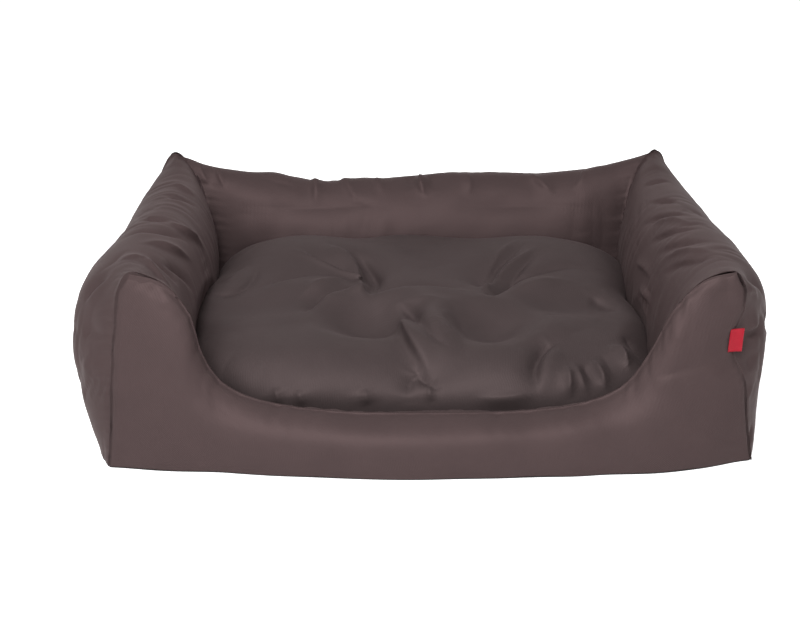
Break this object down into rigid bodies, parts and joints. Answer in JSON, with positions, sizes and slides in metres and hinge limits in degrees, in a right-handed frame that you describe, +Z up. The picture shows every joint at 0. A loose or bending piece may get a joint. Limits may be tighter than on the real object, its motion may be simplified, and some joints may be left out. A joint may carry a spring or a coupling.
{
  "type": "dog sofa bed",
  "caption": "Dog sofa bed: padded back and arms, low bowed entry lip and a loose tufted cushion in removable woven covers.",
  "frame": {"origin": "on the floor, under the middle of the bed's box", "axes": "+X to the right as one faces the bed, +Y to the back wall, +Z up"},
  "size_m": [0.9, 0.73, 0.262],
  "materials": {
    "frame_cloth": "satin woven polyester",
    "cushion_cloth": "satin woven polyester",
    "filling": "fibre wadding",
    "base_cloth": "dotted non-slip cloth",
    "tag_ribbon": "woven ribbon",
    "zip_tape": "woven tape",
    "zip_chain": "moulded coil",
    "zip_metal": "lacquered die casting",
    "thread": "waxed thread"
  },
  "bodies": {
    "frame": {"base_sheet": "base_cloth", "floor_pad": "filling", "floor_cover": "frame_cloth", "left_arm_cover": "frame_cloth", "right_arm_cover": "frame_cloth", "back_cover": "frame_cloth", "front_outer_panel": "frame_cloth", "front_inner_panel": "frame_cloth", "left_arm_fill": "filling", "right_arm_fill": "filling", "back_fill": "filling", "front_fill": "filling", "side_tag": "tag_ribbon", "frame_zip_tape": "zip_tape", "frame_zip_teeth": "zip_chain", "frame_zip_stops": "zip_metal"},
    "cushion": {"cushion_top_cover": "cushion_cloth", "cushion_bottom_cover": "cushion_cloth", "cushion_fill": "filling", "left_tuft_tie": "thread", "right_tuft_tie": "thread", "cushion_zip_tape": "zip_tape", "cushion_zip_teeth": "zip_chain", "cushion_zip_stops": "zip_metal"},
    "frame_slider": {"frame_zip_slider": "zip_metal"},
    "frame_pull": {"frame_zip_pull": "zip_metal"},
    "cushion_slider": {"cushion_zip_slider": "zip_metal"},
    "cushion_pull": {"cushion_zip_pull": "zip_metal"}
  },
  "joints": [
    {"name": "cushion_lift", "type": "slide", "parent": "frame", "child": "cushion", "axis": [0, 0, 1], "range_m": [0, 0.3]},
    {"name": "frame_zip_travel", "type": "slide", "parent": "frame", "child": "frame_slider", "axis": [1, 0, 0], "range_m": [0, 0.5084]},
    {"name": "frame_zip_swing", "type": "hinge", "parent": "frame_slider", "child": "frame_pull", "pos_m": [-0.2542, 0.36055, 0.0457], "axis": [0, 0, 1], "range_deg": [0, 170]},
    {"name": "cushion_zip_travel", "type": "slide", "parent": "cushion", "child": "cushion_slider", "axis": [1, 0, 0], "range_m": [0, 0.2884]},
    {"name": "cushion_zip_swing", "type": "hinge", "parent": "cushion_slider", "child": "cushion_pull", "pos_m": [-0.1442, 0.21813, 0.0505], "axis": [0, 0, 1], "range_deg": [0, 30]}
  ]
}
